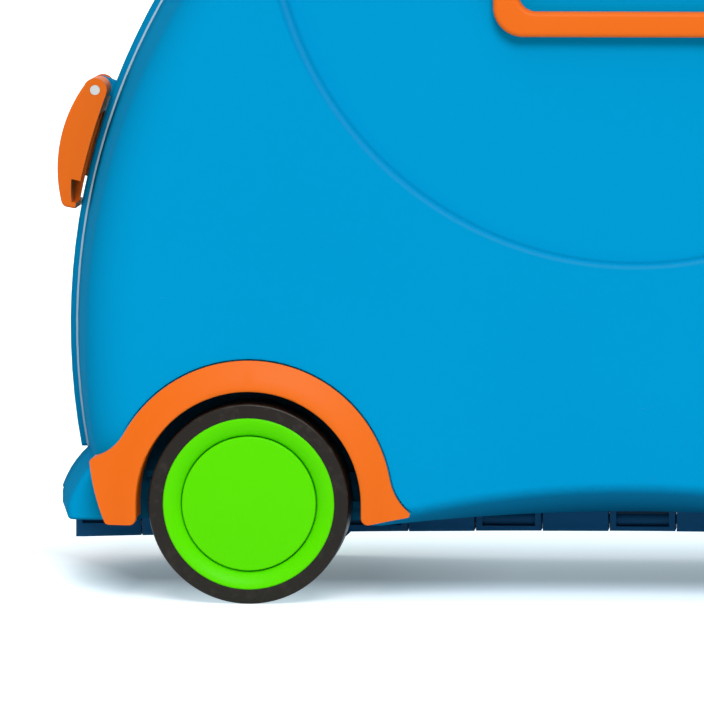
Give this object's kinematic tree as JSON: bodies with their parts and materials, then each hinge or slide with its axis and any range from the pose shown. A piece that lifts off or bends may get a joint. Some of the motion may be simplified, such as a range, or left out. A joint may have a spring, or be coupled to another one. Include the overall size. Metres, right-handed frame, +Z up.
{
  "type": "ride-on suitcase",
  "caption": "Child's ride-on suitcase: hinged hard half shells with a saddle top, wheels under coloured arches, end latches, front grips and swinging carry handles.",
  "frame": {"origin": "on the floor, at the middle of the case's length and width", "axes": "+X along the case towards its rear, +Y towards the right half (the one with the raised rim), +Z up"},
  "size_m": [0.4744, 0.208, 0.3451],
  "materials": {
    "shell_plastic": "satin moulded",
    "seal_rubber": "matt",
    "hinge_plastic": "satin moulded",
    "steel": "zinc plated",
    "tyre_rubber": "matt",
    "wheel_plastic": "gloss moulded",
    "trim_plastic": "satin moulded",
    "grip_rubber": "matt"
  },
  "bodies": {
    "right_half": {"right_shell": "shell_plastic", "rim_seal": "seal_rubber", "right_hinge_leaf": "hinge_plastic", "hinge_pin": "steel", "right_hinge_screws": "steel", "front_right_wheel_arch": "trim_plastic", "rear_right_wheel_arch": "trim_plastic", "right_arch_screws": "steel", "front_right_axle": "steel", "rear_right_axle": "steel", "right_axle_clips": "steel", "front_latch_pin": "steel", "rear_latch_pin": "steel", "right_handle_pins": "steel", "right_grip": "grip_rubber", "right_grip_screw": "steel"},
    "left_half": {"left_shell": "shell_plastic", "left_hinge_leaf": "hinge_plastic", "left_hinge_screws": "steel", "front_left_wheel_arch": "trim_plastic", "rear_left_wheel_arch": "trim_plastic", "left_arch_screws": "steel", "front_left_axle": "steel", "rear_left_axle": "steel", "left_axle_clips": "steel", "left_handle_pins": "steel", "left_grip": "grip_rubber", "left_grip_screw": "steel"},
    "front_latch_lever": {"front_latch": "trim_plastic"},
    "rear_latch_lever": {"rear_latch": "trim_plastic"},
    "left_carry_handle": {"left_handle": "trim_plastic"},
    "right_carry_handle": {"right_handle": "trim_plastic"},
    "front_left_wheel": {"front_left_tyre": "tyre_rubber", "front_left_wheel_rim": "wheel_plastic", "front_left_hub_cap": "wheel_plastic"},
    "rear_left_wheel": {"rear_left_tyre": "tyre_rubber", "rear_left_wheel_rim": "wheel_plastic", "rear_left_hub_cap": "wheel_plastic"},
    "front_right_wheel": {"front_right_tyre": "tyre_rubber", "front_right_wheel_rim": "wheel_plastic", "front_right_hub_cap": "wheel_plastic"},
    "rear_right_wheel": {"rear_right_tyre": "tyre_rubber", "rear_right_wheel_rim": "wheel_plastic", "rear_right_hub_cap": "wheel_plastic"}
  },
  "joints": [
    {"name": "case_hinge", "type": "hinge", "parent": "right_half", "child": "left_half", "pos_m": [0, 0, 0.0255], "axis": [1, 0, 0], "range_deg": [0, 110]},
    {"name": "front_latch_pivot", "type": "hinge", "parent": "right_half", "child": "front_latch_lever", "pos_m": [-0.22181, 0, 0.20018], "axis": [0, 1, 0], "range_deg": [0, 100]},
    {"name": "rear_latch_pivot", "type": "hinge", "parent": "right_half", "child": "rear_latch_lever", "pos_m": [0.22181, 0, 0.20018], "axis": [0, -1, 0], "range_deg": [0, 100]},
    {"name": "left_handle_pivot", "type": "hinge", "parent": "left_half", "child": "left_carry_handle", "pos_m": [0, -0.09855, 0.262], "axis": [-1, 0, 0], "range_deg": [0, 165]},
    {"name": "right_handle_pivot", "type": "hinge", "parent": "right_half", "child": "right_carry_handle", "pos_m": [0, 0.09855, 0.262], "axis": [1, 0, 0], "range_deg": [0, 165]},
    {"name": "front_left_wheel_spin", "type": "hinge", "parent": "left_half", "child": "front_left_wheel", "pos_m": [-0.153, -0.0903, 0.04], "axis": [0, 1, 0], "continuous": true},
    {"name": "rear_left_wheel_spin", "type": "hinge", "parent": "left_half", "child": "rear_left_wheel", "pos_m": [0.153, -0.0903, 0.04], "axis": [0, 1, 0], "continuous": true},
    {"name": "front_right_wheel_spin", "type": "hinge", "parent": "right_half", "child": "front_right_wheel", "pos_m": [-0.153, 0.0903, 0.04], "axis": [0, 1, 0], "continuous": true},
    {"name": "rear_right_wheel_spin", "type": "hinge", "parent": "right_half", "child": "rear_right_wheel", "pos_m": [0.153, 0.0903, 0.04], "axis": [0, 1, 0], "continuous": true}
  ]
}
